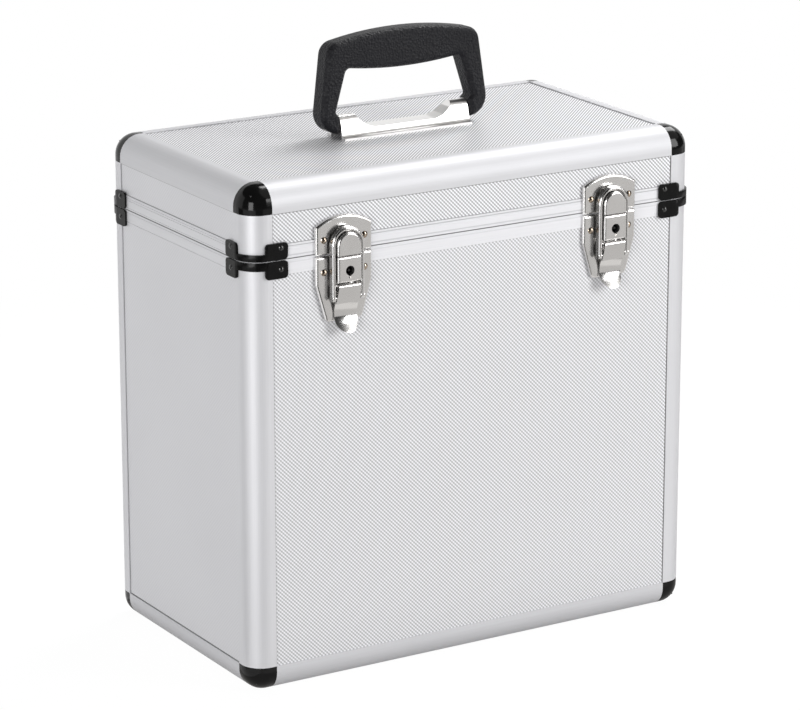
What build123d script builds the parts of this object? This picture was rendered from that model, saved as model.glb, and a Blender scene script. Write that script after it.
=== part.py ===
from build123d import *
import math
import os

os.makedirs("parts", exist_ok=True)

# A record carrying case, in millimetres. X runs across the front, Y goes into the depth,
# Z is up, and the latches are on the -Y side. The floor is Z 0.

# Case body
WIDTH = 355.0
DEPTH = 198.5
HEIGHT = 352.0
PARTING = 302.0
PARTING_GAP = 0.3

# Rounded edge profiles, their flange and the slots that hold the panels
EDGE_RADIUS = 15.0
EDGE_REACH = 18.8
PANEL_RECESS = 0.8
PANEL_INNER = 5.0
SKIN_THICK = 0.5
WALL_INNER = 6.0
SLOT_START = 15.0
PANEL_EDGE = 15.3

# Rim profiles at the parting
BASE_RIM_LOW = 291.5
LID_RIM_HIGH = 312.0
BASE_SLOT_TOP = 294.4
LID_SLOT_LOW = 309.0
TONGUE_OUTER = 4.2
TONGUE_INNER = 5.8
TONGUE_TOP = 306.5
REBATE_DEPTH = 3.9
REBATE_TOP = 307.0
LINING = 3.0

# Brackets round the corners of the parting
BRACKET_THICK = 1.5
BRACKET_HIGH = 313.8
BRACKET_LOW = 289.7
NECK_HIGH = 306.9
NECK_LOW = 296.0
LEG_START = 12.8
LEG_FRONT_END = 29.5
LEG_SIDE_END = 27.3
BRACKET_RIVET_FRONT = 24.6
BRACKET_RIVET_SIDE = 20.4
LID_RIVET_Z = 310.4
BASE_RIVET_Z = 295.9

# Latches
LATCH_X = 105.9
PLATE_HALF = 21.5
PLATE_PROUD = 2.4
PLATE_EDGE = 1.9
BOSS_EDGE = 1.5
STRIKE_LOW = 300.9
STRIKE_SHOULDER = 320.5
STRIKE_TOP = 327.0
BASE_PLATE_TOP = 300.2
BASE_PLATE_BEND = 280.6
BASE_PLATE_LOW = 254.5
BOSS_HALF = 9.0
BOSS_PROUD = 10.0
BOSS_ARC_Z = 307.4
BOSS_LOW = 282.4
KEY_Z = 290.4
KEY_RADIUS = 3.3
PLUG_RADIUS = 4.3
BAIL_INNER = 9.7
BAIL_OUTER = 12.2
BAIL_BACK = 4.0
BAIL_FRONT = 8.4
BAIL_PIN_Z = 271.5
BAIL_PIN_PROUD = 5.8
LEVER_PIN_Z = 279.2
LEVER_PIN_PROUD = 7.0
EAR_RADIUS = 1.4
LEVER_THICK = 1.1
LEVER_CREASE = (7.5, 268.4)
TAB_PATH = ((5.5, 264.8), (4.5, 261.0), (4.8, 256.9), (6.8, 252.6), (9.9, 247.4))
TAB_DISH = 1.0
LATCH_RIVET_X = 15.5
STRIKE_RIVET_Z = 311.3
BASE_PLATE_RIVET_Z = 289.3

# Hinges at the back
HINGE_X = 105.9
HINGE_AXIS_Y = 4.2
HINGE_RADIUS = 3.6
HINGE_PIN_RADIUS = 1.6
LEAF_HALF = 23.0
KNUCKLE_HALF = 11.0
LEAF_THICK = 1.5
LEAF_LOW = 272.0
LEAF_HIGH = 332.0

# Carrying handle; at rest it leans back a little
HANDLE_AXIS_Z = 361.5
HANDLE_SET_BACK = 1.5
HANDLE_LEAN = 2.0
HANDLE_HALF_DEPTH = 8.5
ROD_RADIUS = 4.35
ROD_START = 41.5
ROD_END = 61.0
CURL_OUTER = 6.0
CURL_INNER = 4.5
BRACKET_HALF = 51.3
BRACKET_SHEET = 1.5
BRACKET_BEND = 3.5
BRACKET_WALL_LEAN = 15.0
FLANGE_REACH = 12.0
SADDLE = ((24.5, 357.4), (31.0, 359.4), (36.6, 363.7), (39.5, 368.5), (39.5, 375.0))
GRIP_TOP = 423.8
GRIP_SHOULDER = (60.2, 417.0)
GRIP_FOOT = (68.5, 355.3)
GRIP_INNER_FOOT = (51.9, 367.0)
GRIP_KNEE = (55.0, 370.0)
GRIP_CORNER = (45.9, 399.9)
GRIP_LOW = 396.5
GRIP_EDGE = 4.0

# Case body as seen from its outer planes. The latches stand further out than the hinges,
# so the body sits a little behind the middle.
FRONT_PROUD = BOSS_PROUD
BACK_PROUD = HINGE_AXIS_Y + HINGE_RADIUS
SHIFT = (FRONT_PROUD - BACK_PROUD) / 2
LEFT = -WIDTH / 2
RIGHT = WIDTH / 2
FRONT = -DEPTH / 2 + SHIFT
BACK = DEPTH / 2 + SHIFT
HANDLE_Y = SHIFT + HANDLE_SET_BACK
BASE_TOP = PARTING - PARTING_GAP / 2
LID_LOW = PARTING + PARTING_GAP / 2

SIDES = ("front", "back", "left", "right")
CORNERS = {
    "front_left": (LEFT, FRONT, 1, 1),
    "front_right": (RIGHT, FRONT, -1, 1),
    "back_left": (LEFT, BACK, 1, -1),
    "back_right": (RIGHT, BACK, -1, -1),
}


def block(x0, x1, y0, y1, z0, z1):
    middle = Pos((x0 + x1) / 2, (y0 + y1) / 2, (z0 + z1) / 2)
    return middle * Box(abs(x1 - x0), abs(y1 - y0), abs(z1 - z0))


def rect(u0, u1, v0, v1):
    return Pos((u0 + u1) / 2, (v0 + v1) / 2) * Rectangle(abs(u1 - u0), abs(v1 - v0))


def outline(*points):
    return make_face(Polyline(*points, close=True))


def along(sketch, origin, u_dir, n_dir, length):
    """Extrudes a flat shape to both sides of a plane, half the length each way."""
    plane = Plane(origin=origin, x_dir=u_dir, z_dir=n_dir)
    return extrude(plane * sketch, amount=length / 2, both=True)


def seen_from_front(sketch, y_front, y_back):
    """Extrudes a shape drawn in X and Z between two depths."""
    middle = (0, (y_front + y_back) / 2, 0)
    return along(sketch, middle, (1, 0, 0), (0, -1, 0), abs(y_back - y_front))


def seen_from_side(sketch, x0, x1):
    """Extrudes a shape drawn in Y and Z between two places across the case."""
    middle = ((x0 + x1) / 2, 0, 0)
    return along(sketch, middle, (0, 1, 0), (1, 0, 0), abs(x1 - x0))


def rod_y(x, z, radius, y0, y1):
    middle = Pos(x, (y0 + y1) / 2, z) * Rot(90, 0, 0)
    return middle * Cylinder(radius, abs(y1 - y0))


def rod_x(x0, x1, y, z, radius):
    middle = Pos((x0 + x1) / 2, y, z) * Rot(0, 90, 0)
    return middle * Cylinder(radius, abs(x1 - x0))


def save(shape, name):
    export_step(shape, "parts/" + name + ".step")


def group(solids):
    return Compound(children=list(solids))


# ---------------------------------------------------------------- body profiles

def edge_section():
    """Section of a rounded edge profile, with its sharp corner at 0, 0."""
    shape = rect(0, EDGE_REACH, 0, EDGE_REACH)
    outside = rect(-1, EDGE_RADIUS, -1, EDGE_RADIUS)
    outside -= Pos(EDGE_RADIUS, EDGE_RADIUS) * Circle(EDGE_RADIUS)
    shape -= outside
    shape -= rect(WALL_INNER, EDGE_REACH + 1, WALL_INNER, EDGE_REACH + 1)
    shape -= rect(SLOT_START, EDGE_REACH + 1, PANEL_RECESS, PANEL_INNER)
    shape -= rect(PANEL_RECESS, PANEL_INNER, SLOT_START, EDGE_REACH + 1)
    shape -= edge_hollows()
    return shape


def edge_hollows():
    """The two long hollows that lighten an edge profile."""
    hollow = rect(0, EDGE_RADIUS - 1.8, 0, EDGE_RADIUS - 1.8)
    hollow &= Pos(EDGE_RADIUS, EDGE_RADIUS) * Circle(EDGE_RADIUS - 1.4)
    hollow -= rect(WALL_INNER - 1.4, EDGE_RADIUS, WALL_INNER - 1.4, EDGE_RADIUS)
    return hollow


def upright_profile(corner, z0, z1):
    """An edge profile standing at one corner of the case, seen from above."""
    x, y, sx, sy = CORNERS[corner]
    plane_up = (0, 0, sx * sy)
    middle = (x, y, (z0 + z1) / 2)
    return along(edge_section(), middle, (sx, 0, 0), plane_up, z1 - z0)


def level_profile(side, z, sz):
    """An edge profile lying along one side; sz is 1 at the bottom and -1 at the top."""
    if side in ("front", "back"):
        y, sy = (FRONT, 1) if side == "front" else (BACK, -1)
        length = WIDTH - 2 * EDGE_REACH
        return along(edge_section(), (0, y, z), (0, sy, 0), (sy * sz, 0, 0), length)
    x, sx = (LEFT, 1) if side == "left" else (RIGHT, -1)
    length = DEPTH - 2 * EDGE_REACH
    return along(edge_section(), (x, SHIFT, z), (sx, 0, 0), (0, -sx * sz, 0), length)


def base_rim_section():
    """Section of the base's rim, drawn as distance from the outer face and height."""
    shape = rect(0, WALL_INNER, BASE_RIM_LOW, BASE_TOP)
    shape += rect(TONGUE_OUTER, TONGUE_INNER, BASE_TOP - 1, TONGUE_TOP)
    shape -= rect(PANEL_RECESS, PANEL_INNER, BASE_RIM_LOW - 1, BASE_SLOT_TOP)
    shape -= rect(-1, 0.35, 299.9, 300.5)
    shape -= rect(-1, 0.35, 293.2, 293.8)
    return shape


def lid_rim_section():
    shape = rect(0, WALL_INNER, LID_LOW, LID_RIM_HIGH)
    shape -= rect(REBATE_DEPTH, WALL_INNER + 1, LID_LOW - 1, REBATE_TOP)
    shape -= rect(PANEL_RECESS, PANEL_INNER, LID_SLOT_LOW, LID_RIM_HIGH + 1)
    shape -= rect(-1, 0.35, 303.4, 304.0)
    shape -= rect(-1, 0.35, 308.6, 309.2)
    shape -= rect(-1, 0.35, 310.2, 310.8)
    return shape


def rim(section, side):
    if side in ("front", "back"):
        y, sy = (FRONT, 1) if side == "front" else (BACK, -1)
        shape = section if sy == 1 else mirror(section, Plane.YZ)
        middle = (0, y, 0)
        piece = along(shape, middle, (0, 1, 0), (1, 0, 0), WIDTH - 2 * EDGE_REACH)
    else:
        x, sx = (LEFT, 1) if side == "left" else (RIGHT, -1)
        shape = section if sx == 1 else mirror(section, Plane.YZ)
        middle = (x, SHIFT, 0)
        piece = along(shape, middle, (1, 0, 0), (0, -1, 0), DEPTH - 2 * EDGE_REACH)
    return piece - rivet_holes()


def ball_corner(corner, z, sz):
    """A moulded cap over one corner of the case, as round as the profiles it joins."""
    cube = block(0, EDGE_REACH, 0, EDGE_REACH, 0, EDGE_REACH)
    edges = [e for e in cube.edges() if e.distance_to(Vector(0, 0, 0)) < 0.001]
    cap = fillet(edges, EDGE_RADIUS)
    beyond = EDGE_REACH + 1
    cap -= block(WALL_INNER, beyond, WALL_INNER, beyond, WALL_INNER, beyond)
    cap -= block(SLOT_START, beyond, PANEL_RECESS, PANEL_INNER, SLOT_START, beyond)
    cap -= block(PANEL_RECESS, PANEL_INNER, SLOT_START, beyond, SLOT_START, beyond)
    cap -= block(SLOT_START, beyond, SLOT_START, beyond, PANEL_RECESS, PANEL_INNER)
    x, y, sx, sy = CORNERS[corner]
    if sx < 0:
        cap = mirror(cap, Plane.YZ)
    if sy < 0:
        cap = mirror(cap, Plane.XZ)
    if sz < 0:
        cap = mirror(cap, Plane.XY)
    return Pos(x, y, z) * cap


# ---------------------------------------------------------------- panels

def upright_sheet(side, z0, z1, near, far):
    """A sheet in one wall, between two depths behind the outer face."""
    if side == "front":
        box = (LEFT + PANEL_EDGE, RIGHT - PANEL_EDGE, FRONT + near, FRONT + far)
    elif side == "back":
        box = (LEFT + PANEL_EDGE, RIGHT - PANEL_EDGE, BACK - far, BACK - near)
    elif side == "left":
        box = (LEFT + near, LEFT + far, FRONT + PANEL_EDGE, BACK - PANEL_EDGE)
    else:
        box = (RIGHT - far, RIGHT - near, FRONT + PANEL_EDGE, BACK - PANEL_EDGE)
    return block(*box, z0, z1) - rivet_holes()


def level_sheet(z0, z1):
    edge = PANEL_EDGE
    return block(LEFT + edge, RIGHT - edge, FRONT + edge, BACK - edge, z0, z1)


def base_wall(side, near, far):
    return upright_sheet(side, PANEL_EDGE, BASE_SLOT_TOP - 0.2, near, far)


def lid_wall(side, near, far):
    return upright_sheet(side, LID_SLOT_LOW + 0.2, HEIGHT - PANEL_EDGE, near, far)


def base_skins():
    """The embossed metal sheets on the outside of the base's five boards."""
    near, far = PANEL_RECESS, PANEL_RECESS + SKIN_THICK
    walls = [base_wall(side, near, far) for side in SIDES]
    return group(walls + [level_sheet(near, far)])


def lid_skins():
    near, far = PANEL_RECESS, PANEL_RECESS + SKIN_THICK
    walls = [lid_wall(side, near, far) for side in SIDES]
    roof = level_sheet(HEIGHT - far, HEIGHT - near)
    return group(walls + [roof - bracket_screw_holes()])


# ---------------------------------------------------------------- linings

def lining_walls(z0, z1):
    """Four foam sheets that stand against the inside of the walls."""
    a, b = WALL_INNER, WALL_INNER + LINING
    front = block(LEFT + a, RIGHT - a, FRONT + a, FRONT + b, z0, z1)
    back = block(LEFT + a, RIGHT - a, BACK - b, BACK - a, z0, z1)
    left = block(LEFT + a, LEFT + b, FRONT + b, BACK - b, z0, z1)
    right = block(RIGHT - b, RIGHT - a, FRONT + b, BACK - b, z0, z1)
    return [front, back, left, right]


def lining_sheet(z0, z1):
    a = WALL_INNER
    return block(LEFT + a, RIGHT - a, FRONT + a, BACK - a, z0, z1)


def base_lining():
    inner = WALL_INNER + LINING
    return group([lining_sheet(WALL_INNER, inner)] + lining_walls(inner, BASE_TOP - 0.5))


def lid_lining():
    """The lid's foam sheets, the top one cut round the heads of the handle's screws."""
    inner = HEIGHT - WALL_INNER - LINING
    roof = lining_sheet(inner, HEIGHT - WALL_INNER)
    places = bracket_screw_places()
    roof -= [Pos(x, y, HEIGHT - 7.5) * Cylinder(3.6, 5) for x, y in places]
    return group([roof] + lining_walls(REBATE_TOP + 0.3, inner))


# ---------------------------------------------------------------- rivets

def rivet_places():
    """Every rivet as its place on an outer face: side, position along it, height."""
    places = {"base": [], "lid": []}
    for body, z in (("base", BASE_RIVET_Z), ("lid", LID_RIVET_Z)):
        for sign in (-1, 1):
            x = sign * (WIDTH / 2 - BRACKET_RIVET_FRONT)
            y = sign * (DEPTH / 2 - BRACKET_RIVET_SIDE) + SHIFT
            places[body] += [("front", x, z), ("back", x, z)]
            places[body] += [("left", y, z), ("right", y, z)]
    return places


def plate_rivet_places():
    places = {"base": [], "lid": []}
    for sign in (-1, 1):
        for offset in (-1, 1):
            x = sign * LATCH_X + offset * LATCH_RIVET_X
            places["lid"].append(("front", x, STRIKE_RIVET_Z))
            places["base"].append(("front", x, BASE_PLATE_RIVET_Z))
            x = sign * HINGE_X + offset * (LEAF_HALF - 6)
            places["lid"].append(("back", x, 324.0))
            places["base"].append(("back", x, 281.0))
    return places


def rivet(side, position, z, stand, length, head, shank):
    """A round-headed rivet; stand is how far its head's seat is from the outer face."""
    top = 0.47 * head
    radius = (head * head + top * top) / (2 * top)
    dome = Pos(0, 0, top - radius) * Sphere(radius)
    dome &= Pos(0, 0, top / 2) * Box(2 * head + 1, 2 * head + 1, top)
    body = dome + Pos(0, 0, -length / 2) * Cylinder(shank, length)
    turned = {
        "front": (position, FRONT - stand, z, 90, 0),
        "back": (position, BACK + stand, z, -90, 0),
        "left": (LEFT - stand, position, z, 0, -90),
        "right": (RIGHT + stand, position, z, 0, 90),
    }
    x, y, z, about_x, about_y = turned[side]
    return Pos(x, y, z) * Rot(about_x, about_y, 0) * body


def shank_hole(side, position, z, shank):
    if side == "front":
        return rod_y(position, z, shank, FRONT - 4, FRONT + WALL_INNER + 0.5)
    if side == "back":
        return rod_y(position, z, shank, BACK - WALL_INNER - 0.5, BACK + 4)
    if side == "left":
        return rod_x(LEFT - 4, LEFT + WALL_INNER + 0.5, position, z, shank)
    return rod_x(RIGHT - WALL_INNER - 0.5, RIGHT + 4, position, z, shank)


def rivet_holes():
    """All the holes for the bracket, latch and hinge rivets, as one group to cut."""
    holes = []
    for places in (rivet_places(), plate_rivet_places()):
        for body in places.values():
            holes += [shank_hole(*place, 1.3) for place in body]
    return holes


def body_rivets(body):
    solids = [rivet(*p, BRACKET_THICK, 7.4, 1.9, 1.2) for p in rivet_places()[body]]
    for side, position, z in plate_rivet_places()[body]:
        stand = PLATE_PROUD if side == "front" else LEAF_THICK
        solids.append(rivet(side, position, z, stand, stand + 5.0, 2.4, 1.2))
    return group(solids)


# ---------------------------------------------------------------- corner brackets

def corner_bracket(corner, lid):
    """A thin black plate that wraps round a corner at the parting, on one half."""
    low, high = (LID_LOW + 0.3, BRACKET_HIGH) if lid else (BRACKET_LOW, BASE_TOP - 0.3)
    neck_low, neck_high = (low, NECK_HIGH) if lid else (NECK_LOW, high)
    t, far = BRACKET_THICK, 32.0
    strip = rect(-t, far, -t, far)
    strip -= rect(-t - 1, EDGE_RADIUS, -t - 1, EDGE_RADIUS)
    strip += (Pos(EDGE_RADIUS, EDGE_RADIUS) * Circle(EDGE_RADIUS + t)) & rect(
        -t - 1, EDGE_RADIUS, -t - 1, EDGE_RADIUS
    )
    strip -= rect(EDGE_RADIUS, far + 1, 0, far + 1)
    strip -= rect(0, far + 1, EDGE_RADIUS, far + 1)
    strip -= Pos(EDGE_RADIUS, EDGE_RADIUS) * Circle(EDGE_RADIUS)
    plate = extrude(Plane.XY.offset(low - 1) * strip, amount=high - low + 2)
    reach = LEG_START + 1
    window = block(-t - 1, reach, -t - 1, reach, neck_low, neck_high)
    front_leg = rounded_leg(LEG_START, LEG_FRONT_END, low, high)
    side_leg = rounded_leg(LEG_START, LEG_SIDE_END, low, high)
    window += seen_from_front(front_leg, -t - 1, 0.5)
    window += seen_from_side(side_leg, -t - 1, 0.5)
    plate &= window
    x, y, sx, sy = CORNERS[corner]
    if sx < 0:
        plate = mirror(plate, Plane.YZ)
    if sy < 0:
        plate = mirror(plate, Plane.XZ)
    return (Pos(x, y, 0) * plate) - rivet_holes()


def rounded_leg(start, end, low, high):
    shape = rect(start, end, low, high)
    return fillet(shape.vertices(), 2.6)


# ---------------------------------------------------------------- latches

def at_latch(sketch, side, proud_back, proud_front):
    """A shape drawn about a latch's middle, between two distances out of the front."""
    placed = Pos(side * LATCH_X, 0) * sketch
    return seen_from_front(placed, FRONT - proud_front, FRONT - proud_back)


def soften(solid, proud, radius, keep_above=0):
    """Rounds the edges of the face that lies at a distance out of the front."""
    edges = []
    for edge in solid.edges():
        middle = edge.center()
        if abs(middle.Y - (FRONT - proud)) > 0.01:
            continue
        if middle.Z > keep_above:
            edges.append(edge)
    return fillet(edges, radius)


def arched(half, low, centre_z, radius):
    shape = rect(-half, half, low, centre_z)
    return shape + (Pos(0, centre_z) * Circle(radius) & rect(-half, half, centre_z, 400))


def strike_plate(side):
    """The latch plate on the lid, with the raised arch that the bail hooks over."""
    rise = STRIKE_TOP - STRIKE_SHOULDER
    radius = (PLATE_HALF**2 + rise**2) / (2 * rise)
    disc = Pos(0, STRIKE_TOP - radius) * Circle(radius)
    flat = rect(-PLATE_HALF, PLATE_HALF, STRIKE_LOW, STRIKE_TOP) & disc
    plate = at_latch(flat, side, 0, PLATE_PROUD)
    plate = soften(plate, PLATE_PROUD, PLATE_EDGE)
    arch = arched(BOSS_HALF, STRIKE_LOW, BOSS_ARC_Z, BOSS_HALF)
    boss = at_latch(arch, side, PLATE_PROUD - 1, BOSS_PROUD)
    boss = soften(boss, BOSS_PROUD, BOSS_EDGE, keep_above=STRIKE_LOW + 0.5)
    return plate + boss - rivet_holes()


def latch_base(side):
    """The latch plate on the base: keyhole boss above, ears for the lever below it."""
    low, bend, top = BASE_PLATE_LOW, BASE_PLATE_BEND, BASE_PLATE_TOP
    half = PLATE_HALF
    flat = outline(
        (-half, top), (half, top), (half, bend), (13.8, low), (-13.8, low), (-half, bend)
    )
    tail = [v for v in flat.vertices() if v.Y < low + 0.1]
    flat = fillet(tail, 4.0)
    plate = at_latch(flat, side, 0, PLATE_PROUD)
    plate = soften(plate, PLATE_PROUD, PLATE_EDGE)
    boss = at_latch(
        rect(-BOSS_HALF, BOSS_HALF, BOSS_LOW, top), side, PLATE_PROUD - 1, BOSS_PROUD
    )
    boss = soften(boss, BOSS_PROUD, BOSS_EDGE)
    body = plate + boss
    for sign in (-1, 1):
        body += lever_ear(side, sign)
    x = side * LATCH_X
    body -= rod_y(x, KEY_Z, PLUG_RADIUS + 0.05, FRONT - 8.6, FRONT + 1)
    body -= rod_y(x, KEY_Z, KEY_RADIUS, FRONT - BOSS_PROUD - 1, FRONT - 8)
    body -= block(x - 0.8, x + 0.8, FRONT - 11, FRONT - 8, KEY_Z - 5.2, KEY_Z)
    return body - rivet_holes()


def lever_ear(side, sign):
    """A lug that holds one end of the lever's pin."""
    x0 = side * LATCH_X + sign * 4.9
    x1 = side * LATCH_X + sign * 7.1
    y = FRONT - LEVER_PIN_PROUD
    ear = rod_x(x0, x1, y, LEVER_PIN_Z, EAR_RADIUS)
    low = LEVER_PIN_Z - EAR_RADIUS
    ear += block(x0, x1, y, FRONT - PLATE_PROUD + 0.5, low, LEVER_PIN_Z)
    return ear - rod_x(x0 - 3, x1 + 3, y, LEVER_PIN_Z, 0.9)


def lever_pin(side):
    x = side * LATCH_X
    return rod_x(x - 7.1, x + 7.1, FRONT - LEVER_PIN_PROUD, LEVER_PIN_Z, 0.9)


def lever_side():
    """The lever's upper sheet from the side: distance out of the front and height."""
    crease = (LEVER_CREASE[0] - 0.1, LEVER_CREASE[1] - 0.5)
    edges = []
    for back in (0, LEVER_THICK):
        top, bend, face, low = [
            (FRONT - p + back, z) for p, z in ((8.7, 280.9), (9.6, 280.4), (9.95, 279.2), crease)
        ]
        edges += [ThreePointArc(top, bend, face), Line(face, low)]
    edges.append(Line(edges[0] @ 0, edges[2] @ 0))
    edges.append(Line(edges[1] @ 1, edges[3] @ 1))
    return make_face(edges)


def lever_tab(x):
    """The dished finger tab, which sweeps in and out again below the crease."""
    points = [LEVER_CREASE, *TAB_PATH]
    path = Spline(*[(x, FRONT - p, z) for p, z in points])
    half = 9.6
    outer = ThreePointArc((-half, -TAB_DISH), (0, 0), (half, -TAB_DISH))
    inner = Pos(0, -LEVER_THICK) * outer
    ends = [Line(outer @ 0, inner @ 0), Line(outer @ 1, inner @ 1)]
    section = make_face([outer, inner, *ends])
    start = Plane(origin=path @ 0, x_dir=(1, 0, 0), z_dir=path % 0)
    return sweep(start * section, path=path)


def lever_front():
    """The lever as seen from the front, with its round tab at the bottom."""
    side = [(8.5, 257.0), (9.1, 268.2), (8.2, 281.2)]
    other = [(-x, z) for x, z in side[::-1]]
    tip = ThreePointArc(other[-1], (0, 247.7), side[0])
    return make_face([*Polyline(*side, *other).edges(), tip])


def lever(side):
    x = side * LATCH_X
    sheet = seen_from_side(lever_side(), x - 12, x + 12)
    sheet += lever_tab(x)
    sheet &= at_latch(lever_front(), side, 0, 14)
    y = FRONT - LEVER_PIN_PROUD
    barrel = rod_x(x - 4.6, x + 4.6, y, LEVER_PIN_Z, 1.8)
    barrel += block(x - 4.6, x + 4.6, y, FRONT - 8.9, LEVER_PIN_Z - 1.8, LEVER_PIN_Z)
    body = sheet + barrel
    for sign in (-1, 1):
        body += lever_cheek(x, sign)
        body -= bail_hole(x, sign)
    body -= rod_x(x - 5, x + 5, y, LEVER_PIN_Z, 0.95)
    return body


def lever_cheek(x, sign):
    """A lug under the lever's face with the hole for one end of the bail."""
    y = FRONT - BAIL_PIN_PROUD
    x0, x1 = x + sign * 7.4, x + sign * 8.9
    lug = rod_x(x0, x1, y, BAIL_PIN_Z, 2.0)
    lug += block(x0, x1, y - 1.6, y, BAIL_PIN_Z - 1.6, BAIL_PIN_Z + 2.0)
    return lug


def bail_hole(x, sign):
    y = FRONT - BAIL_PIN_PROUD
    return rod_x(x + sign * 7.0, x + sign * 9.5, y, BAIL_PIN_Z, 1.05)


def bail(side):
    """The loop that hooks over the strike's arch; its ends turn inward as pins."""
    ring = Pos(0, BOSS_ARC_Z) * (Circle(BAIL_OUTER) - Circle(BAIL_INNER))
    ring &= rect(-20, 20, BOSS_ARC_Z, 400)
    legs = rect(BAIL_INNER, BAIL_OUTER, BAIL_PIN_Z, BOSS_ARC_Z)
    legs += rect(-BAIL_OUTER, -BAIL_INNER, BAIL_PIN_Z, BOSS_ARC_Z)
    loop = at_latch(ring + legs, side, BAIL_BACK, BAIL_FRONT)
    front = [e for e in loop.edges() if abs(e.center().Y - (FRONT - BAIL_FRONT)) < 0.01]
    loop = fillet([e for e in front if e.center().Z > BAIL_PIN_Z + 0.5], 1.15)
    x = side * LATCH_X
    y = FRONT - BAIL_PIN_PROUD
    for sign in (-1, 1):
        eye = (x + sign * BAIL_INNER, x + sign * BAIL_OUTER)
        loop += rod_x(min(eye), max(eye), y, BAIL_PIN_Z, 2.3)
        tip = (x + sign * 7.5, x + sign * BAIL_OUTER)
        loop += rod_x(min(tip), max(tip), y, BAIL_PIN_Z, 1.0)
    return loop


def lock_plug(side):
    """The turning core behind the keyhole, with its centre post and key slot."""
    x = side * LATCH_X
    core = rod_y(x, KEY_Z, PLUG_RADIUS, FRONT - 8.5, FRONT - 0.8)
    core -= rod_y(x, KEY_Z, 2.7, FRONT - 9, FRONT - 4.0)
    core -= block(x - 0.7, x + 0.7, FRONT - 9, FRONT - 4.0, KEY_Z - 3.9, KEY_Z)
    return core + rod_y(x, KEY_Z, 0.8, FRONT - 8.3, FRONT - 3.5)


# ---------------------------------------------------------------- hinges

def hinge_axis_y():
    return BACK + HINGE_AXIS_Y


def base_leaf(side):
    x = side * HINGE_X
    y = hinge_axis_y()
    half = LEAF_HALF
    leaf = block(x - half, x + half, BACK, BACK + LEAF_THICK, LEAF_LOW, 297.9)
    tongue = KNUCKLE_HALF
    low, high = PARTING - HINGE_RADIUS, PARTING - 1.6
    leaf += block(x - tongue, x + tongue, BACK, BACK + LEAF_THICK, 297, high)
    leaf += block(x - tongue, x + tongue, BACK + 0.5, y, low, high)
    leaf += rod_x(x - tongue, x + tongue, y, PARTING, HINGE_RADIUS)
    leaf -= rod_x(x - tongue - 1, x + tongue + 1, y, PARTING, HINGE_PIN_RADIUS)
    return leaf - rivet_holes()


def lid_leaf(side):
    x = side * HINGE_X
    y = hinge_axis_y()
    half = LEAF_HALF
    leaf = block(x - half, x + half, BACK, BACK + LEAF_THICK, 306.1, LEAF_HIGH)
    low, high = PARTING + 1.6, PARTING + HINGE_RADIUS
    for sign in (-1, 1):
        x0 = x + sign * (KNUCKLE_HALF + 0.3)
        x1 = x + sign * half
        leaf += block(x0, x1, BACK, BACK + LEAF_THICK, low, 307)
        leaf += block(x0, x1, BACK + 0.5, y, low, high)
        leaf += rod_x(x0, x1, y, PARTING, HINGE_RADIUS)
    bore = HINGE_PIN_RADIUS + 0.05
    leaf -= rod_x(x - half - 1, x + half + 1, y, PARTING, bore)
    return leaf - rivet_holes()


def hinge_pin(side):
    x = side * HINGE_X
    return rod_x(x - LEAF_HALF, x + LEAF_HALF, hinge_axis_y(), PARTING, HINGE_PIN_RADIUS)


# ---------------------------------------------------------------- carrying handle

def roll_section(radius, low):
    """A roll about the handle's axis, with walls that lean in as they rise to it."""
    lean = math.radians(BRACKET_WALL_LEAN)
    x, z = radius * math.cos(lean), radius * math.sin(lean)
    foot = radius / math.cos(lean) + (HANDLE_AXIS_Z - low) * math.tan(lean)
    below = low - HANDLE_AXIS_Z
    shape = Circle(radius) + outline((-foot, below), (foot, below), (x, z), (-x, z))
    return Pos(HANDLE_Y, HANDLE_AXIS_Z) * shape


def handle_bracket():
    """A pressed sheet on the lid: rolled over a rod at both ends, low and closed between."""
    seat = HEIGHT - PANEL_RECESS
    flange_top = seat + BRACKET_SHEET
    shell = roll_section(CURL_OUTER, seat)
    shell += rect(HANDLE_Y - FLANGE_REACH, HANDLE_Y + FLANGE_REACH, seat, flange_top)
    bends = []
    for vertex in shell.vertices():
        across = abs(vertex.X - HANDLE_Y)
        if abs(vertex.Y - flange_top) < 0.01 and across < FLANGE_REACH - 0.5:
            bends.append(vertex)
    shell = fillet(bends, BRACKET_BEND)
    hollow = roll_section(CURL_INNER, seat - 1)
    saddle = outline(*SADDLE, *[(-x, z) for x, z in SADDLE[::-1]])
    sheet = seen_from_side(shell, -BRACKET_HALF, BRACKET_HALF)
    sheet -= seen_from_front(saddle, HANDLE_Y - 20, HANDLE_Y + 20)
    inside = seen_from_side(hollow, -BRACKET_HALF - 1, BRACKET_HALF + 1)
    skin = offset(saddle, BRACKET_SHEET, kind=Kind.INTERSECTION)
    inside -= seen_from_front(skin, HANDLE_Y - 20, HANDLE_Y + 20)
    return sheet - inside - bracket_screw_holes()


def bracket_screw_places():
    return [(x, HANDLE_Y + y) for x in (-45, 45) for y in (-9.5, 9.5)]


def bracket_screw_holes():
    low, high = HEIGHT - WALL_INNER - LINING - 1, HEIGHT - 0.4
    return [
        Pos(x, y, (low + high) / 2) * Cylinder(1.55, high - low)
        for x, y in bracket_screw_places()
    ]


def bracket_screws():
    """Screws put in from inside the lid, which hold the handle's bracket down."""
    seat = HEIGHT - PANEL_INNER
    top = HEIGHT - 0.45
    screws = []
    for x, y in bracket_screw_places():
        head = Pos(x, y, seat - 0.5) * Cylinder(3.2, 1.0)
        shank = Pos(x, y, (seat + top) / 2) * Cylinder(1.5, top - seat)
        screws.append(head + shank)
    return group(screws)


def handle_rod(sign):
    """A stub of rod, held in one curl of the bracket, on which a handle leg turns."""
    x0, x1 = sorted((sign * ROD_START, sign * ROD_END))
    return rod_x(x0, x1, HANDLE_Y, HANDLE_AXIS_Z, ROD_RADIUS)


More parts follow.
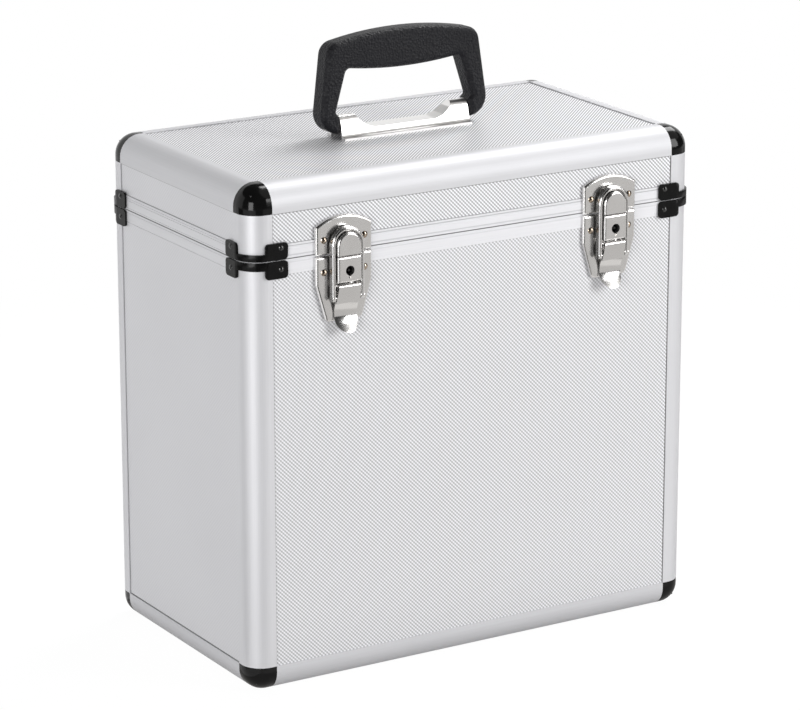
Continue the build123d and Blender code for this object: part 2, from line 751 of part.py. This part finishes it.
def handle_face():
    """The handle as seen from the front: crowned grip, splayed legs and round feet."""
    x, z = GRIP_SHOULDER
    crown = ThreePointArc((-x, z), (0, GRIP_TOP), (x, z))
    foot, inner = GRIP_FOOT, GRIP_INNER_FOOT
    side = Polyline(GRIP_SHOULDER, foot, (inner[0], foot[1]), inner, GRIP_KNEE, GRIP_CORNER)
    belly = ThreePointArc(GRIP_CORNER, (0, GRIP_LOW), (-GRIP_CORNER[0], GRIP_CORNER[1]))
    other = mirror(side, Plane.YZ)
    face = make_face([crown, *side.edges(), belly, *other.edges()])
    bends = [(GRIP_SHOULDER, 10.5), (foot, 14.0), (inner, 2.5), (GRIP_KNEE, 2.0)]
    bends.append((GRIP_CORNER, 4.5))
    for (x, z), radius in bends:
        near = [v for v in face.vertices() if abs(abs(v.X) - x) < 0.01 and abs(v.Y - z) < 0.01]
        face = fillet(near, radius)
    return face


def handle_grip():
    depth = HANDLE_HALF_DEPTH
    grip = seen_from_front(handle_face(), -depth, depth)
    sides = [e for e in grip.edges() if abs(abs(e.center().Y) - depth) < 0.01]
    grip = fillet(sides, GRIP_EDGE) - handle_bores()
    lean = Rot(-HANDLE_LEAN, 0, 0) * Pos(0, 0, -HANDLE_AXIS_Z) * grip
    return Pos(0, HANDLE_Y, HANDLE_AXIS_Z) * lean


def handle_bores():
    radius = ROD_RADIUS + 0.05
    return [
        rod_x(-ROD_END - 0.2, -ROD_END + 11, 0, HANDLE_AXIS_Z, radius),
        rod_x(ROD_END - 11, ROD_END + 0.2, 0, HANDLE_AXIS_Z, radius),
    ]


# ---------------------------------------------------------------- assembly

def write_body():
    board = PANEL_RECESS + SKIN_THICK
    for side in SIDES:
        save(base_wall(side, board, PANEL_INNER), "base_board_" + side)
        save(lid_wall(side, board, PANEL_INNER), "lid_board_" + side)
        save(level_profile(side, 0, 1), "bottom_edge_" + side)
        save(level_profile(side, HEIGHT, -1), "top_edge_" + side)
        save(rim(base_rim_section(), side), "base_rim_" + side)
        save(rim(lid_rim_section(), side), "lid_rim_" + side)
    for corner in CORNERS:
        save(upright_profile(corner, EDGE_REACH, BASE_TOP), "base_upright_" + corner)
    top = HEIGHT - EDGE_REACH
    uprights = [upright_profile(corner, LID_LOW, top) for corner in CORNERS]
    save(group(uprights), "lid_uprights")
    save(level_sheet(board, PANEL_INNER), "base_board_bottom")
    roof = level_sheet(HEIGHT - PANEL_INNER, HEIGHT - board)
    save(roof - bracket_screw_holes(), "lid_board_top")
    save(base_skins(), "base_skins")
    save(lid_skins(), "lid_skins")
    save(base_lining(), "base_lining")
    save(lid_lining(), "lid_lining")
    save(group([ball_corner(c, 0, 1) for c in CORNERS]), "base_ball_corners")
    save(group([ball_corner(c, HEIGHT, -1) for c in CORNERS]), "lid_ball_corners")
    save(group([corner_bracket(c, False) for c in CORNERS]), "base_corner_brackets")
    save(group([corner_bracket(c, True) for c in CORNERS]), "lid_corner_brackets")


def write_hardware():
    for name, side in (("left", -1), ("right", 1)):
        save(strike_plate(side), name + "_latch_strike")
        save(latch_base(side), name + "_latch_plate")
        save(lever(side), name + "_latch_lever")
        save(bail(side), name + "_latch_bail")
        save(lock_plug(side), name + "_lock_plug")
    save(group([lever_pin(-1), lever_pin(1)]), "latch_lever_pins")
    save(group([base_leaf(-1), base_leaf(1)]), "hinge_base_leaves")
    save(group([lid_leaf(-1), lid_leaf(1)]), "hinge_lid_leaves")
    save(group([hinge_pin(-1), hinge_pin(1)]), "hinge_pins")
    save(body_rivets("base"), "base_rivets")
    save(body_rivets("lid"), "lid_rivets")
    save(handle_bracket(), "handle_bracket")
    save(bracket_screws(), "handle_bracket_screws")
    save(group([handle_rod(-1), handle_rod(1)]), "handle_rods")
    save(handle_grip(), "handle_grip")


write_body()
write_hardware()
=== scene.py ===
import math

import bmesh
import bpy
from mathutils import Matrix, Vector

# A record carrying case in metres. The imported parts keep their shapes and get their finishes
# here, and a small studio lights them. The latches face -Y and the floor is Z 0.

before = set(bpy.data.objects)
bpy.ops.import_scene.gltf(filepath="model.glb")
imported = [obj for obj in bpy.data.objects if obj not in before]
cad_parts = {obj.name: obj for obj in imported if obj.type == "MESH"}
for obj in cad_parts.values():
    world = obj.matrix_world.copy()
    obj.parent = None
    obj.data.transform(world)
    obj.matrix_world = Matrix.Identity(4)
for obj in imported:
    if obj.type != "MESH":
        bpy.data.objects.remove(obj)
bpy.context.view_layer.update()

MM = 0.001
WIDTH = 355 * MM
DEPTH = 198.5 * MM
HEIGHT = 352 * MM
SHIFT = 1.1 * MM  # how far the box's middle lies behind the origin
FRONT = SHIFT - DEPTH / 2
LEFT = -WIDTH / 2
RIGHT = WIDTH / 2
EDGE_REACH = 18.8 * MM  # from the box's outside to the seam between a profile and its sheet
BASE_RIM_LOW = 291.5 * MM
PARTING = 302 * MM
LID_RIM_HIGH = 312 * MM

# The rims' grooves: height, half width and how dark the shade painted in it is.
RIM_GROOVE_SHADES = (
    (PARTING, 0.5 * MM, 0.75),
    (310.4 * MM, 0.5 * MM, 0.30),
    (304.2 * MM, 0.7 * MM, 0.22),
    (299.4 * MM, 0.5 * MM, 0.12),
)

# The sheets' dots are two families of slanting rows that cross, and their light and dark is
# painted shading of the pressed relief. Each family is this strong, and painted stronger on the
# front, on the lid's front and on the level sheets.
EMBOSS_PITCH = 2.77 * MM
FALLING_ROWS = 0.02
FALLING_ROWS_FRONT = 0.20
FALLING_ROWS_LID = 0.08
RISING_ROWS = 0.01
RISING_ROWS_FRONT = 0.08
RISING_ROWS_LEVEL = 0.32
# The level sheets are painted a darker tone than the upright ones: painted shade that depends on
# which way a sheet faces.
SHEET_TONE = 0.71
SHEET_TONE_LEVEL_SHADED = 0.66
# Shade painted along the sheets' seams with the profiles and rims: full within the first
# distance, gone at the second.
SEAM_SHADE_FULL = 0.3 * MM
SEAM_SHADE_GONE = 0.8 * MM

BRACKET_RIVETS_X = 140 * MM  # the corner brackets' rivets lie farther out than this
PART_METAL = 0.35  # anodised aluminium lies between a metal and a white coat
NOISE_LOW, NOISE_HIGH = 0.3, 0.7  # a noise texture stays mostly within these values


# ---------------------------------------------------------------- camera

CAMERA_PLACE = (-1.3175, -2.1682, 0.9396)
CAMERA_RIGHT = (0.8549, -0.5188, -0.0006)
CAMERA_BACK = (-0.4974, -0.8198, 0.2838)
LENS_MM = 169.03
SENSOR_MM = 36.0


def make_camera():
    data = bpy.data.cameras.new("camera")
    camera = bpy.data.objects.new("camera", data)
    bpy.context.scene.collection.objects.link(camera)
    right = Vector(CAMERA_RIGHT).normalized()
    back = Vector(CAMERA_BACK).normalized()
    up = back.cross(right).normalized()
    right = up.cross(back)
    turn = Matrix((right, up, back)).transposed().to_4x4()
    camera.matrix_world = Matrix.Translation(CAMERA_PLACE) @ turn
    data.lens = LENS_MM
    data.sensor_width = SENSOR_MM
    data.clip_start = 0.05
    data.clip_end = 60.0
    bpy.context.scene.camera = camera


# ---------------------------------------------------------------- shader helpers

class Shader:
    """A material with short calls for its nodes. A socket may be given a number or a link."""

    def __init__(self, name):
        self.material = bpy.data.materials.new(name)
        self.material.use_nodes = True
        self.tree = self.material.node_tree
        self.surface = self.tree.nodes["Principled BSDF"]

    def feed(self, socket, value):
        if isinstance(value, bpy.types.NodeSocket):
            self.tree.links.new(value, socket)
        elif value is not None:
            socket.default_value = value

    def node(self, kind, **settings):
        made = self.tree.nodes.new(kind)
        for key, value in settings.items():
            setattr(made, key, value)
        return made

    def sums(self, operation, a, b=None, c=None):
        made = self.node("ShaderNodeMath", operation=operation)
        for socket, value in zip(made.inputs, (a, b, c)):
            self.feed(socket, value)
        return made.outputs[0]

    def add(self, a, b):
        return self.sums("ADD", a, b)

    def less(self, a, b):
        return self.sums("SUBTRACT", a, b)

    def times(self, a, b):
        return self.sums("MULTIPLY", a, b)

    def size(self, a):
        return self.sums("ABSOLUTE", a)

    def place(self, scale=(1, 1, 1)):
        """Object coordinates in metres, stretched."""
        coords = self.node("ShaderNodeTexCoord")
        mapping = self.node("ShaderNodeMapping")
        mapping.inputs["Scale"].default_value = scale
        self.tree.links.new(coords.outputs["Object"], mapping.inputs["Vector"])
        return mapping.outputs[0]

    def axes(self, vector):
        split = self.node("ShaderNodeSeparateXYZ")
        self.tree.links.new(vector, split.inputs[0])
        return split.outputs

    def noise(self, vector, scale, detail=3.0):
        made = self.node("ShaderNodeTexNoise")
        self.feed(made.inputs["Vector"], vector)
        made.inputs["Scale"].default_value = scale
        made.inputs["Detail"].default_value = detail
        return made.outputs["Fac"]

    def cells(self, vector, scale):
        made = self.node("ShaderNodeTexVoronoi")
        self.feed(made.inputs["Vector"], vector)
        made.inputs["Scale"].default_value = scale
        return made.outputs["Distance"]

    def span(self, value, low, high, to_low, to_high):
        """The value's place between low and high, carried over to the other two."""
        made = self.node("ShaderNodeMapRange", clamp=True)
        for socket, item in zip(made.inputs, (value, low, high, to_low, to_high)):
            self.feed(socket, item)
        return made.outputs[0]

    def spread(self, noise, low, high):
        return self.span(noise, NOISE_LOW, NOISE_HIGH, low, high)

    def mix(self, amount, a, b):
        made = self.node("ShaderNodeMix", data_type="RGBA")
        self.feed(made.inputs["Factor"], amount)
        self.feed(made.inputs["A"], a)
        self.feed(made.inputs["B"], b)
        return made.outputs["Result"]

    def bump(self, height, strength, distance):
        made = self.node("ShaderNodeBump")
        self.feed(made.inputs["Strength"], strength)
        made.inputs["Distance"].default_value = distance
        self.feed(made.inputs["Height"], height)
        return made.outputs[0]

    def finish(self, color, metallic=0.0, rough=None, normal=None, level=None):
        inputs = self.surface.inputs
        self.feed(inputs["Base Color"], color)
        self.feed(inputs["Metallic"], metallic)
        self.feed(inputs["Roughness"], rough)
        self.feed(inputs["Normal"], normal)
        self.feed(inputs["Specular IOR Level"], level)
        return self.material


def rgb(red, green, blue):
    return (red, green, blue, 1)


def grey(level, warm=0.0):
    return rgb(level * (1 + warm), level, level * (1 - warm))


def cool(level):
    return rgb(level, level, level * 1.03)


# ---------------------------------------------------------------- materials

def painted_dot_shade(s, x, y, z, side, face, level):
    """Painted light and shade of the pressed dots in crossing rows, given which way the sheet
    faces; the level sheets also get a darker painted tone.
    """
    across = s.add(s.times(x, s.less(1.0, side)), s.times(y, side))
    along = s.add(s.times(z, s.less(1.0, level)), s.times(y, level))
    u = s.times(across, 2 * math.pi / EMBOSS_PITCH)
    v = s.times(along, 2 * math.pi / EMBOSS_PITCH)
    falling = s.sums("COSINE", s.add(u, v))
    rising = s.sums("COSINE", s.less(u, v))
    # The dots' painted shading is stronger on the front, and stronger again on the lid's front.
    lid = s.span(z, PARTING - 2 * MM, PARTING + 4 * MM, 0.0, FALLING_ROWS_LID)
    front = s.add(FALLING_ROWS_FRONT, lid)
    first = s.times(falling, s.sums("MULTIPLY_ADD", face, front, FALLING_ROWS))
    strength = s.sums("MULTIPLY_ADD", face, RISING_ROWS_FRONT, RISING_ROWS)
    strength = s.sums("MULTIPLY_ADD", level, RISING_ROWS_LEVEL, strength)
    tone = s.sums("MULTIPLY_ADD", level, SHEET_TONE_LEVEL_SHADED - SHEET_TONE, SHEET_TONE)
    return s.add(s.sums("MULTIPLY_ADD", rising, strength, first), tone)


def seam_distance(s, x, y, z, side, face, level):
    """How far a place on a sheet is from the nearest seam, which sets the shade painted along it.
    A seam that runs along another side of the box is put out of reach by the direction that the
    sheet faces."""
    behind = s.size(s.less(y, SHIFT))
    gaps = [
        s.add(s.less(RIGHT - EDGE_REACH, s.size(x)), side),
        s.add(s.less(DEPTH / 2 - EDGE_REACH, behind), face),
        s.add(s.less(z, EDGE_REACH), s.add(level, face)),
        s.add(s.less(HEIGHT - EDGE_REACH, z), level),
    ]
    for height in (BASE_RIM_LOW, LID_RIM_HIGH):
        away = s.size(s.less(z, height))
        gaps.append(s.add(away, s.add(level, SEAM_SHADE_FULL)))
    nearest = gaps[0]
    for gap in gaps[1:]:
        nearest = s.sums("MINIMUM", nearest, gap)
    return nearest


def embossed_sheet():
    """Thin aluminium sheet pressed with fine rows of staggered dots."""
    s = Shader("embossed_sheet")
    place = s.axes(s.place())
    facing = s.axes(s.node("ShaderNodeNewGeometry").outputs["True Normal"])
    side, face, level = [s.size(part) for part in facing]
    # The dots' light and dark is painted into the colour as shading of the pressed relief, and it
    # also drives a mild bump.
    dots = painted_dot_shade(s, *place, side, face, level)
    wear = s.noise(s.place(), scale=9.0, detail=4.0)
    dot_shade_color = s.mix(dots, cool(0.0), cool(1.0))
    color = s.mix(s.spread(wear, 0.0, 0.10), dot_shade_color, cool(0.66))
    # Painted shade: the sheet is darkened in the narrow step along its seams, where shade falls.
    seam = s.span(seam_distance(s, *place, side, face, level), SEAM_SHADE_FULL, SEAM_SHADE_GONE, 1.0, 0.0)
    color = s.mix(seam, color, grey(0.10))
    normal = s.bump(dots, strength=0.25, distance=0.3 * MM)
    return s.finish(color, PART_METAL, s.spread(wear, 0.46, 0.54), normal)


def anodised(name, axis, level, rough, grooves=()):
    """Satin anodised extrusion with faint drawing lines; shade is painted into its grooves."""
    s = Shader(name)
    stretch = [1.0, 1.0, 1.0]
    stretch[axis] = 0.012
    lines = s.noise(s.place(tuple(stretch)), scale=1400.0, detail=2.0)
    cloud = s.noise(s.place(), scale=14.0)
    color = s.mix(lines, cool(level * 0.96), cool(level * 1.04))
    z = s.axes(s.place())[2]
    # Painted shade in each groove, darkest along its middle.
    for height, half, groove_shade in grooves:
        away = s.size(s.less(z, height))
        color = s.mix(s.span(away, half * 0.5, half, groove_shade, 0.0), color, grey(0.05))
    sheen = s.spread(cloud, rough - 0.03, rough + 0.03)
    normal = s.bump(lines, strength=0.08, distance=0.2 * MM)
    return s.finish(color, PART_METAL, sheen, normal)


def nickel(name, level, rough_low, rough_high):
    """Bright plating with a trace of polishing marks."""
    s = Shader(name)
    warm = 0.012
    marks = s.noise(s.place((1.0, 1.0, 0.3)), scale=240.0, detail=2.0)
    cloud = s.noise(s.place(), scale=60.0, detail=2.0)
    color = s.mix(cloud, grey(level, warm), grey(level * 1.06, warm))
    normal = s.bump(cloud, strength=0.04, distance=0.3 * MM)
    return s.finish(color, 1.0, s.spread(marks, rough_low, rough_high), normal)


def rivet_finish():
    """Nickel heads on the latches and hinges, black ones on the corner brackets."""
    s = Shader("rivet_steel")
    cloud = s.noise(s.place(), scale=400.0)
    x = s.axes(s.place())[0]
    outer = s.span(s.size(x), BRACKET_RIVETS_X - 1 * MM, BRACKET_RIVETS_X + 1 * MM, 0.0, 1.0)
    bright = s.mix(cloud, rgb(0.33, 0.27, 0.21), rgb(0.44, 0.37, 0.30))
    black = s.mix(cloud, grey(0.006), grey(0.012))
    color = s.mix(outer, bright, black)
    normal = s.bump(cloud, strength=0.05, distance=0.2 * MM)
    return s.finish(color, s.less(1.0, outer), s.spread(cloud, 0.10, 0.15), normal, level=0.8)


def gloss_black():
    s = Shader("gloss_black")
    cloud = s.noise(s.place(), scale=120.0)
    color = s.mix(cloud, grey(0.003), grey(0.007))
    normal = s.bump(cloud, strength=0.03, distance=0.4 * MM)
    return s.finish(color, 0.0, s.spread(cloud, 0.10, 0.16), normal, level=0.22)


def coated_black():
    s = Shader("black_bracket")
    peel = s.noise(s.place(), scale=1500.0, detail=2.0)
    cloud = s.noise(s.place(), scale=150.0)
    color = s.mix(cloud, grey(0.002), grey(0.006))
    normal = s.bump(peel, strength=0.10, distance=0.2 * MM)
    return s.finish(color, 0.0, s.spread(cloud, 0.22, 0.30), normal, level=0.15)


def grained_plastic():
    """Black plastic moulded with a fine leather-like grain."""
    s = Shader("handle_plastic")
    pebbles = s.cells(s.place(), scale=620.0)
    fine = s.noise(s.place(), scale=1500.0)
    height = s.sums("MULTIPLY_ADD", fine, 0.35, pebbles)
    worn = s.noise(s.place(), scale=45.0, detail=4.0)
    color = s.mix(pebbles, rgb(0.010, 0.010, 0.013), rgb(0.004, 0.004, 0.006))
    normal = s.bump(height, strength=1.0, distance=0.5 * MM)
    return s.finish(color, 0.0, s.spread(worn, 0.44, 0.54), normal, level=0.27)


def foam():
    s = Shader("foam_lining")
    cells = s.cells(s.place(), scale=650.0)
    cloud = s.noise(s.place(), scale=30.0, detail=5.0)
    color = s.mix(cloud, grey(0.040), grey(0.075))
    normal = s.bump(cells, strength=0.6, distance=0.5 * MM)
    return s.finish(color, 0.0, 0.95, normal, level=0.2)


def hardboard():
    s = Shader("board")
    fibres = s.noise(s.place((1, 1, 0.4)), scale=500.0, detail=5.0)
    color = s.mix(fibres, rgb(0.30, 0.19, 0.11), rgb(0.44, 0.31, 0.20))
    normal = s.bump(fibres, strength=0.3, distance=0.4 * MM)
    return s.finish(color, 0.0, 0.8, normal, level=0.3)


def dark_steel():
    s = Shader("lock_steel")
    marks = s.noise(s.place(), scale=900.0)
    color = s.mix(marks, grey(0.02), grey(0.06))
    normal = s.bump(marks, strength=0.15, distance=0.2 * MM)
    return s.finish(color, 0.8, s.spread(marks, 0.35, 0.5), normal)


# ---------------------------------------------------------------- finishing CAD nodes

def paint(material, *names):
    for name in names:
        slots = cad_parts[name].data.materials
        slots.clear()
        slots.append(material)


def round_edges(width, segments, *names):
    """Rounds the sharp edges of thin plates."""
    for name in names:
        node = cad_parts[name]
        weld = node.modifiers.new("weld", "WELD")
        weld.merge_threshold = 0.02 * MM
        bevel = node.modifiers.new("bevel", "BEVEL")
        bevel.width = width
        bevel.segments = segments
        bevel.limit_method = "ANGLE"
        bevel.angle_limit = math.radians(40)
        bevel.harden_normals = True


def finish_profiles(names):
    along_x = anodised("profile_across", axis=0, level=0.67, rough=0.58)
    along_y = anodised("profile_deep", axis=1, level=0.67, rough=0.58)
    upright = anodised("profile_upright", axis=2, level=0.70, rough=0.49)
    # The side rims are painted a darker tone than the front and back rims: painted shade that
    # depends on which way a rim faces.
    rim_x = anodised("rim_across", 0, level=0.82, rough=0.49, grooves=RIM_GROOVE_SHADES)
    rim_side_shaded = anodised("rim_deep_shaded", 1, level=0.71, rough=0.49, grooves=RIM_GROOVE_SHADES[:1])
    for name in names:
        across = name.endswith(("front", "back"))
        if "_edge_" in name:
            paint(along_x if across else along_y, name)
        elif "_rim_" in name:
            paint(rim_x if across else rim_side_shaded, name)
        elif "upright" in name:
            paint(upright, name)


def finish_hardware():
    bright = nickel("latch_chrome", level=0.73, rough_low=0.15, rough_high=0.19)
    plates = nickel("plate_nickel", level=0.74, rough_low=0.19, rough_high=0.24)
    satin = nickel("bracket_nickel", level=0.80, rough_low=0.28, rough_high=0.36)
    plain = nickel("pin_steel", level=0.62, rough_low=0.22, rough_high=0.32)
    for side in ("left", "right"):
        paint(plates, side + "_latch_strike", side + "_latch_plate")
        paint(bright, side + "_latch_lever", side + "_latch_bail")
    paint(plates, "hinge_base_leaves", "hinge_lid_leaves")
    paint(satin, "handle_bracket")
    paint(plain, "latch_lever_pins", "hinge_pins", "handle_bracket_screws", "handle_rods")
    paint(rivet_finish(), "base_rivets", "lid_rivets")
    paint(dark_steel(), "left_lock_plug", "right_lock_plug")


def finish_nodes():
    names = sorted(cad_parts)
    paint(embossed_sheet(), "base_skins", "lid_skins")
    finish_profiles(names)
    paint(gloss_black(), "base_ball_corners", "lid_ball_corners")
    paint(coated_black(), "base_corner_brackets", "lid_corner_brackets")
    paint(hardboard(), *[name for name in names if "_board_" in name])
    paint(foam(), "base_lining", "lid_lining")
    finish_hardware()
    paint(grained_plastic(), "handle_grip")
    round_edges(0.4 * MM, 2, "base_corner_brackets", "lid_corner_brackets")


# ---------------------------------------------------------------- studio

SKY = 0.30  # what the surroundings give to the shading, apart from what is seen of them
FLOOR_RADIUS = 1.6
FLOOR_DROP = 0.2 * MM
FLOOR_GLOW = 0.97
FLOOR_WHITE = 0.05
FADE_FROM, FADE_TO = 0.45, 0.9

MIDDLE = Vector((0, 0, 0.2))
LAMP_DISTANCE = 3.0
LAMP_SIZE = (1.15, 1.7)
ROOM_RADIUS = 3.3
ROOM_LEVEL = 0.03
CEILING_RADIUS = 3.25
CEILING_LEVEL = 0.55
CEILING_MIDDLE = Vector((0.5, -0.26, 0.8)).normalized()
CEILING_COSINE = 0.9

TABLE_HEIGHT = 0.5 * MM
WEDGE_HEIGHT = 0.8 * MM
WEDGE_START, WEDGE_END = 0.05, 3.0
WEDGE_LEVEL = 0.04
TABLE_FRONT_EDGE = -2.6
TABLE_RIGHT_EDGE = 2.4
NEAR_STRIP = -0.35
UNDER_STRIP = -0.13


def white_for_the_eye(tree, lit, white):
    """Shows the second shader to camera, glossy and transmission rays, the first to others."""
    path = tree.nodes.new("ShaderNodeLightPath")
    seen = path.outputs["Is Camera Ray"]
    for name in ("Is Glossy Ray", "Is Transmission Ray"):
        either = tree.nodes.new("ShaderNodeMath")
        either.operation = "MAXIMUM"
        tree.links.new(seen, either.inputs[0])
        tree.links.new(path.outputs[name], either.inputs[1])
        seen = either.outputs[0]
    blend = tree.nodes.new("ShaderNodeMixShader")
    tree.links.new(seen, blend.inputs[0])
    tree.links.new(lit, blend.inputs[1])
    tree.links.new(white, blend.inputs[2])
    return blend.outputs[0]


def make_world():
    world = bpy.data.worlds.new("studio")
    bpy.context.scene.world = world
    world.use_nodes = True
    tree = world.node_tree
    tree.nodes.clear()
    soft = tree.nodes.new("ShaderNodeBackground")
    soft.inputs["Color"].default_value = grey(1.0)
    soft.inputs["Strength"].default_value = SKY
    white = tree.nodes.new("ShaderNodeBackground")
    white.inputs["Color"].default_value = grey(1.0)
    white.inputs["Strength"].default_value = 1.0
    out = tree.nodes.new("ShaderNodeOutputWorld")
    shown = white_for_the_eye(tree, soft.outputs[0], white.outputs[0])
    tree.links.new(shown, out.inputs["Surface"])


def floor_finish():
    """White, with a trace of the case's shadow, and plain white like the backdrop far out."""
    s = Shader("floor")
    s.finish(grey(0.5), rough=0.9, level=0.0)
    diffuse = s.node("ShaderNodeBsdfDiffuse")
    diffuse.inputs["Color"].default_value = grey(FLOOR_WHITE)
    glow = s.node("ShaderNodeEmission")
    glow.inputs["Strength"].default_value = FLOOR_GLOW
    both = s.node("ShaderNodeAddShader")
    s.feed(both.inputs[0], diffuse.outputs[0])
    s.feed(both.inputs[1], glow.outputs[0])
    plain = s.node("ShaderNodeEmission")
    plain.inputs["Strength"].default_value = 1.0
    x, y = s.axes(s.place())[:2]
    far = s.sums("SQRT", s.add(s.times(x, x), s.times(y, y)))
    fade = s.node("ShaderNodeMixShader")
    s.feed(fade.inputs[0], s.span(far, FADE_FROM, FADE_TO, 0.0, 1.0))
    s.feed(fade.inputs[1], both.outputs[0])
    s.feed(fade.inputs[2], plain.outputs[0])
    shown = white_for_the_eye(s.tree, s.surface.outputs[0], fade.outputs[0])
    s.feed(s.tree.nodes["Material Output"].inputs["Surface"], shown)
    return s.material


def mesh_from(name, shape):
    mesh = bpy.data.meshes.new(name)
    shape.to_mesh(mesh)
    shape.free()
    return mesh


def make_floor():
    shape = bmesh.new()
    bmesh.ops.create_circle(shape, cap_ends=True, segments=96, radius=FLOOR_RADIUS)
    mesh = mesh_from("floor", shape)
    floor = bpy.data.objects.new("floor", mesh)
    bpy.context.scene.collection.objects.link(floor)
    floor.location.z = -FLOOR_DROP
    mesh.materials.append(floor_finish())


def softbox(name, direction, radiance):
    """A soft lamp of even brightness that faces the case."""
    data = bpy.data.lights.new(name, "AREA")
    data.shape = "RECTANGLE"
    data.size, data.size_y = LAMP_SIZE
    data.energy = radiance * math.pi * data.size * data.size_y
    made = bpy.data.objects.new(name, data)
    bpy.context.scene.collection.objects.link(made)
    made.location = MIDDLE + Vector(direction).normalized() * LAMP_DISTANCE
    made.rotation_euler = (-Vector(direction)).to_track_quat("-Z", "Y").to_euler()


def only_reflected(name, mesh, level):
    """Stage that shows in reflections alone, of an even brightness."""
    piece = bpy.data.objects.new(name, mesh)
    bpy.context.scene.collection.objects.link(piece)
    s = Shader(name)
    s.tree.nodes.remove(s.surface)
    glow = s.node("ShaderNodeEmission")
    glow.inputs["Color"].default_value = grey(1.0, warm=0.02)
    glow.inputs["Strength"].default_value = level
    s.feed(s.tree.nodes["Material Output"].inputs["Surface"], glow.outputs[0])
    mesh.materials.append(s.material)
    piece.visible_camera = False
    piece.visible_diffuse = False
    piece.visible_shadow = False
    piece.visible_transmission = False


def dome(name, segments, radius, level, keeps):
    """The faces of a sphere round the case whose direction passes the test."""
    shape = bmesh.new()
    bmesh.ops.create_uvsphere(
        shape, u_segments=segments, v_segments=segments // 2, radius=radius
    )
    gone = [f for f in shape.faces if not keeps(f.calc_center_median().normalized())]
    bmesh.ops.delete(shape, geom=gone, context="FACES")
    only_reflected(name, mesh_from(name, shape), level)


def in_the_room(way):
    """Not below the floor, and not where the white backdrop stands."""
    backdrop = way.y > 0.15 and way.z < 0.62
    return way.z >= -0.03 and not backdrop


def on_the_ceiling(way):
    return way.dot(CEILING_MIDDLE) >= CEILING_COSINE


def card(name, corners, height, level):
    """A flat patch of the table, as metal shows it."""
    mesh = bpy.data.meshes.new(name)
    mesh.from_pydata([(x, y, height) for x, y in corners], [], [list(range(len(corners)))])
    only_reflected(name, mesh, level)


def rectangle(left, right, front, back):
    return [(left, front), (right, front), (right, back), (left, back)]


def wedge(name, first, second):
    """A dark patch that widens away from the front left corner, between two directions."""
    steps = ((first, WEDGE_START), (first, WEDGE_END), (second, WEDGE_END), (second, WEDGE_START))
    corners = [(LEFT + way[0] * far, FRONT + way[1] * far) for way, far in steps]
    card(name, corners, WEDGE_HEIGHT, WEDGE_LEVEL)


def table_top():
    far = rectangle(-0.15, TABLE_RIGHT_EDGE, TABLE_FRONT_EDGE, NEAR_STRIP)
    card("table_far", far, TABLE_HEIGHT, 0.58)
    near = rectangle(-0.3, TABLE_RIGHT_EDGE, NEAR_STRIP, UNDER_STRIP)
    card("table_near", near, TABLE_HEIGHT, 0.80)
    # Under and beside the case the table is dimmer: painted shade standing in for the case's
    # shadow on the table, as metal shows it.
    under = rectangle(-0.19, 0.5, UNDER_STRIP, 0.11)
    card("table_under_shaded", under, TABLE_HEIGHT, 0.45)
    beside = [(0.51, 0.0), (2.2, 0.0), (2.2, 1.4), (0.51, 0.4)]
    card("table_beside", beside, TABLE_HEIGHT, 0.35)
    wedge("dark_front", (0.12, -0.95), (-0.52, -0.85))
    wedge("dark_left", (-0.94, 0.14), (-0.77, 0.60))


def make_studio():
    make_world()
    make_floor()
    softbox("top_box", (0.57, 0.22, 0.79), radiance=9.6)
    softbox("right_box", (0.58, -0.75, 0.32), radiance=7.9)
    softbox("left_box", (-0.81, -0.56, 0.16), radiance=7.7)
    dome("dark_room", 72, ROOM_RADIUS, ROOM_LEVEL, in_the_room)
    dome("pale_ceiling", 96, CEILING_RADIUS, CEILING_LEVEL, on_the_ceiling)
    table_top()
    bpy.context.scene.view_settings.view_transform = "Standard"


make_camera()
finish_nodes()
make_studio()
